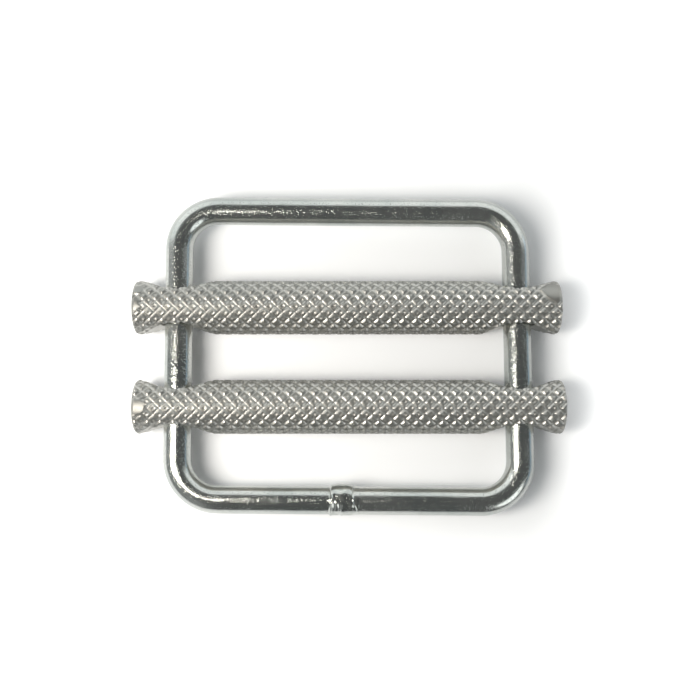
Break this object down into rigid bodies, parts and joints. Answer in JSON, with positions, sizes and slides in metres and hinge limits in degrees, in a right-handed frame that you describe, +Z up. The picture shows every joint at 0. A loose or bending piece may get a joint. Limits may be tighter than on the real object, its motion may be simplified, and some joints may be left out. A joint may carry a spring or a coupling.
{
  "type": "sliding-bar webbing buckle",
  "caption": "Rounded rectangular wire frame with knurled cross bars that slide along its side legs and grip webbing threaded between them.",
  "frame": {"origin": "on the surface that the bars rest on, under the middle of the wire frame", "axes": "+X along the bars, +Y along the side legs away from the welded crossbar, +Z up"},
  "size_m": [0.0612, 0.0458, 0.0077],
  "materials": {
    "frame_metal": "bright zinc-plated steel wire with a fine orange-peel grain",
    "weld_metal": "lumpy weld metal, plated with the frame",
    "bar_metal": "satin nickel-plated steel with a diamond knurl"
  },
  "bodies": {
    "frame": {"wire_frame": "frame_metal", "weld_bead": "weld_metal"},
    "upper_bar": {"upper_bar": "bar_metal"},
    "lower_bar": {"lower_bar": "bar_metal"}
  },
  "joints": [
    {"name": "upper_bar_slide", "type": "slide", "parent": "frame", "child": "upper_bar", "axis": [0, 1, 0], "range_m": [-0.00275, 0.00765]},
    {"name": "lower_bar_slide", "type": "slide", "parent": "frame", "child": "lower_bar", "axis": [0, 1, 0], "range_m": [-0.0068, 0.0036]}
  ]
}
